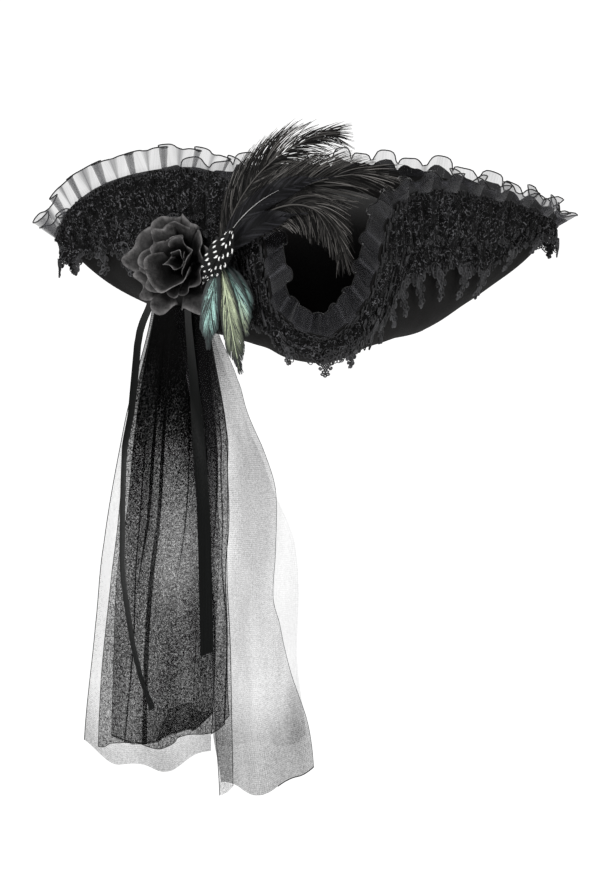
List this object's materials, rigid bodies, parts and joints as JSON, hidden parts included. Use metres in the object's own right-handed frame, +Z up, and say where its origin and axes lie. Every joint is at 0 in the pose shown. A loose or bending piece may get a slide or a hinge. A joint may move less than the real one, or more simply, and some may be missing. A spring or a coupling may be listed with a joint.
{
  "type": "tricorn hat",
  "caption": "Black felt tricorn hat with a turned-up brim, organza ruffle, lace flounce, fabric rose, feather spray, tulle veil and satin tails.",
  "frame": {"origin": "middle of the head opening, in the plane where the crown meets the brim", "axes": "+Z up along the crown, -Y towards the front peak, +X towards the wearer's left, which is at the right in the picture"},
  "size_m": [0.426, 0.3524, 0.5399],
  "materials": {
    "black_felt": "matte wool felt",
    "black_organza": "sheer crisp organza with a dark edge",
    "black_lace": "matte cotton lace",
    "rose_cloth": "matte charcoal cloth",
    "ostrich_barbs": "soft matte barbs",
    "goose_vane": "smooth satin vane",
    "coque_vane": "green and teal iridescent vane",
    "guinea_vane": "black vane with white dots",
    "black_tulle": "sheer net",
    "black_satin": "satin"
  },
  "bodies": {
    "root": {"crown": "black_felt", "brim": "black_felt", "organza_ruffle": "black_organza", "lace_flounce": "black_lace", "rose_outer_petals": "rose_cloth", "rose_middle_petals": "rose_cloth", "rose_inner_petals": "rose_cloth", "rose_heart": "rose_cloth", "ostrich_plume_top": "ostrich_barbs", "ostrich_plume_long": "ostrich_barbs", "ostrich_plume_drooping": "ostrich_barbs", "goose_feather_upper": "goose_vane", "goose_feather_lower": "goose_vane", "coque_feather_short": "coque_vane", "coque_feather_right": "coque_vane", "coque_feather_long": "coque_vane", "coque_feather_left": "coque_vane", "guinea_feather": "guinea_vane", "veil_under": "black_tulle", "veil_left": "black_tulle", "veil_right": "black_tulle", "ribbon_front": "black_satin", "ribbon_left": "black_satin"}
  },
  "joints": []
}
